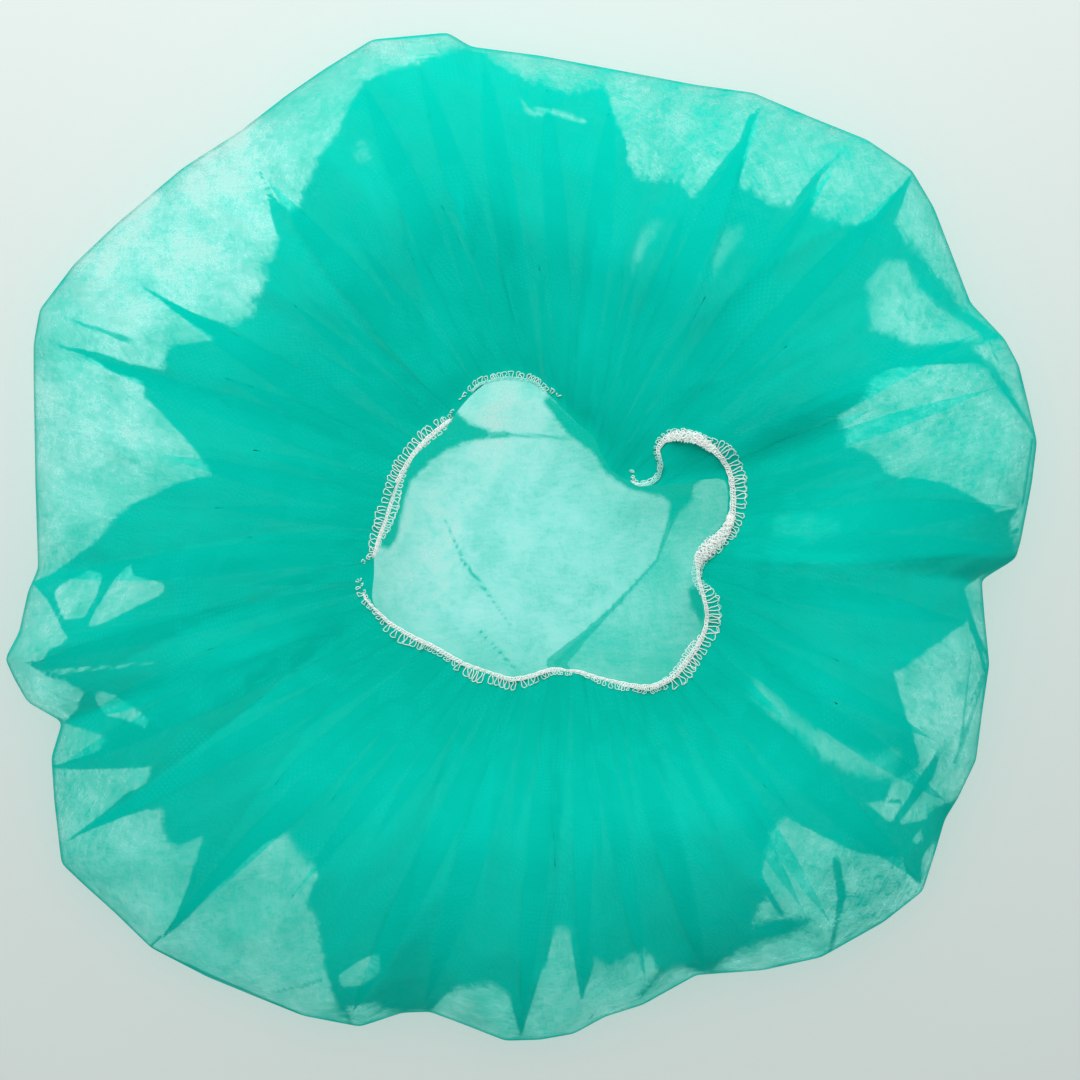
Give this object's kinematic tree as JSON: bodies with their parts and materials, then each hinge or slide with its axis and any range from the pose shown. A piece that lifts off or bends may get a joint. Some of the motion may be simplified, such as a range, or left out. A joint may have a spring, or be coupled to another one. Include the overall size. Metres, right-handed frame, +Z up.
{
  "type": "disposable hairnet",
  "caption": "Disposable bouffant hair cap of thin pleated non-woven cloth, lying mouth up, its edge gathered by an overlocked elastic band.",
  "frame": {"origin": "middle of the cap's outline, on the surface that it lies on", "axes": "+Z up out of the mouth, +X to the right and +Y to the top as seen from above"},
  "size_m": [0.3158, 0.311, 0.0468],
  "materials": {
    "nonwoven_cloth": "thin translucent teal spunbond non-woven with small bonded dots",
    "elastic_thread": "white textured overlock thread over elastic"
  },
  "bodies": {
    "root": {"cap_cloth": "nonwoven_cloth", "elastic_band": "elastic_thread"}
  },
  "joints": []
}
